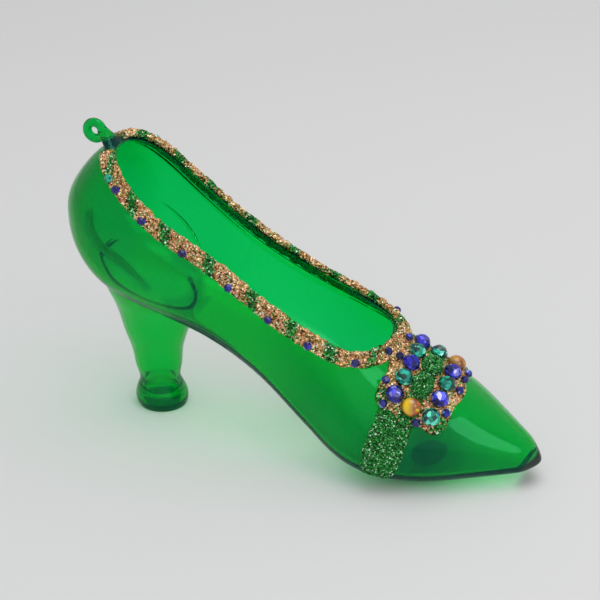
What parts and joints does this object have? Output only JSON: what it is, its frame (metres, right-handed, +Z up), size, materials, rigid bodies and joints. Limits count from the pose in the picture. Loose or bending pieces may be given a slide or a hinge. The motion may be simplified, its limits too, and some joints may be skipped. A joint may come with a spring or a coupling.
{
  "type": "ornament",
  "caption": "Green blown-glass high-heeled shoe ornament with a hanging loop, a gold glitter band round the mouth and a jewelled brooch on the vamp",
  "frame": {"origin": "middle of the footprint on the surface the shoe stands on", "axes": "+X from the heel counter to the toe, +Y across the shoe to its left, +Z up"},
  "size_m": [0.13, 0.0456, 0.0817],
  "materials": {
    "green_glass": "clear, coloured in the mass",
    "dark_glass": "dark, glossy",
    "gold_glitter": "coarse glitter flakes in lacquer",
    "green_glitter": "fine glitter flakes in lacquer",
    "blue_stone": "cut and foil backed",
    "teal_stone": "cut and foil backed",
    "amber_stone": "domed and foil backed"
  },
  "bodies": {
    "root": {"shoe_body": "green_glass", "heel_column": "green_glass", "heel_foot": "green_glass", "toe_seal": "dark_glass", "hanging_loop": "green_glass", "rim_band": "gold_glitter", "brooch_base": "gold_glitter", "strap_near": "green_glitter", "strap_far": "green_glitter", "dome_near": "green_glitter", "dome_far": "green_glitter", "stone_blue_1": "blue_stone", "stone_teal_2": "teal_stone", "stone_blue_3": "blue_stone", "stone_teal_4": "teal_stone", "stone_blue_5": "blue_stone", "stone_amber_6": "amber_stone", "stone_blue_7": "blue_stone", "stone_teal_8": "teal_stone", "stone_blue_9": "blue_stone", "stone_teal_10": "teal_stone", "stone_teal_11": "teal_stone", "stone_amber_12": "amber_stone", "chip_brooch_1": "blue_stone", "chip_brooch_2": "blue_stone", "chip_brooch_3": "blue_stone", "chip_brooch_4": "blue_stone", "chip_brooch_5": "blue_stone", "chip_brooch_6": "blue_stone", "chip_brooch_7": "blue_stone", "chip_brooch_8": "blue_stone", "chip_brooch_9": "blue_stone", "chip_brooch_10": "blue_stone", "chip_rim_near_teal": "teal_stone", "chip_rim_near_1": "blue_stone", "chip_rim_near_2": "blue_stone", "chip_rim_near_3": "blue_stone", "chip_rim_near_4": "blue_stone", "chip_rim_near_5": "blue_stone", "chip_rim_near_6": "blue_stone", "chip_rim_near_7": "blue_stone", "chip_rim_far_teal": "teal_stone", "chip_rim_far_1": "blue_stone", "chip_rim_far_2": "blue_stone", "chip_rim_far_3": "blue_stone", "chip_rim_far_4": "blue_stone", "chip_rim_far_5": "blue_stone", "chip_rim_far_6": "blue_stone", "chip_rim_far_7": "blue_stone"}
  },
  "joints": []
}
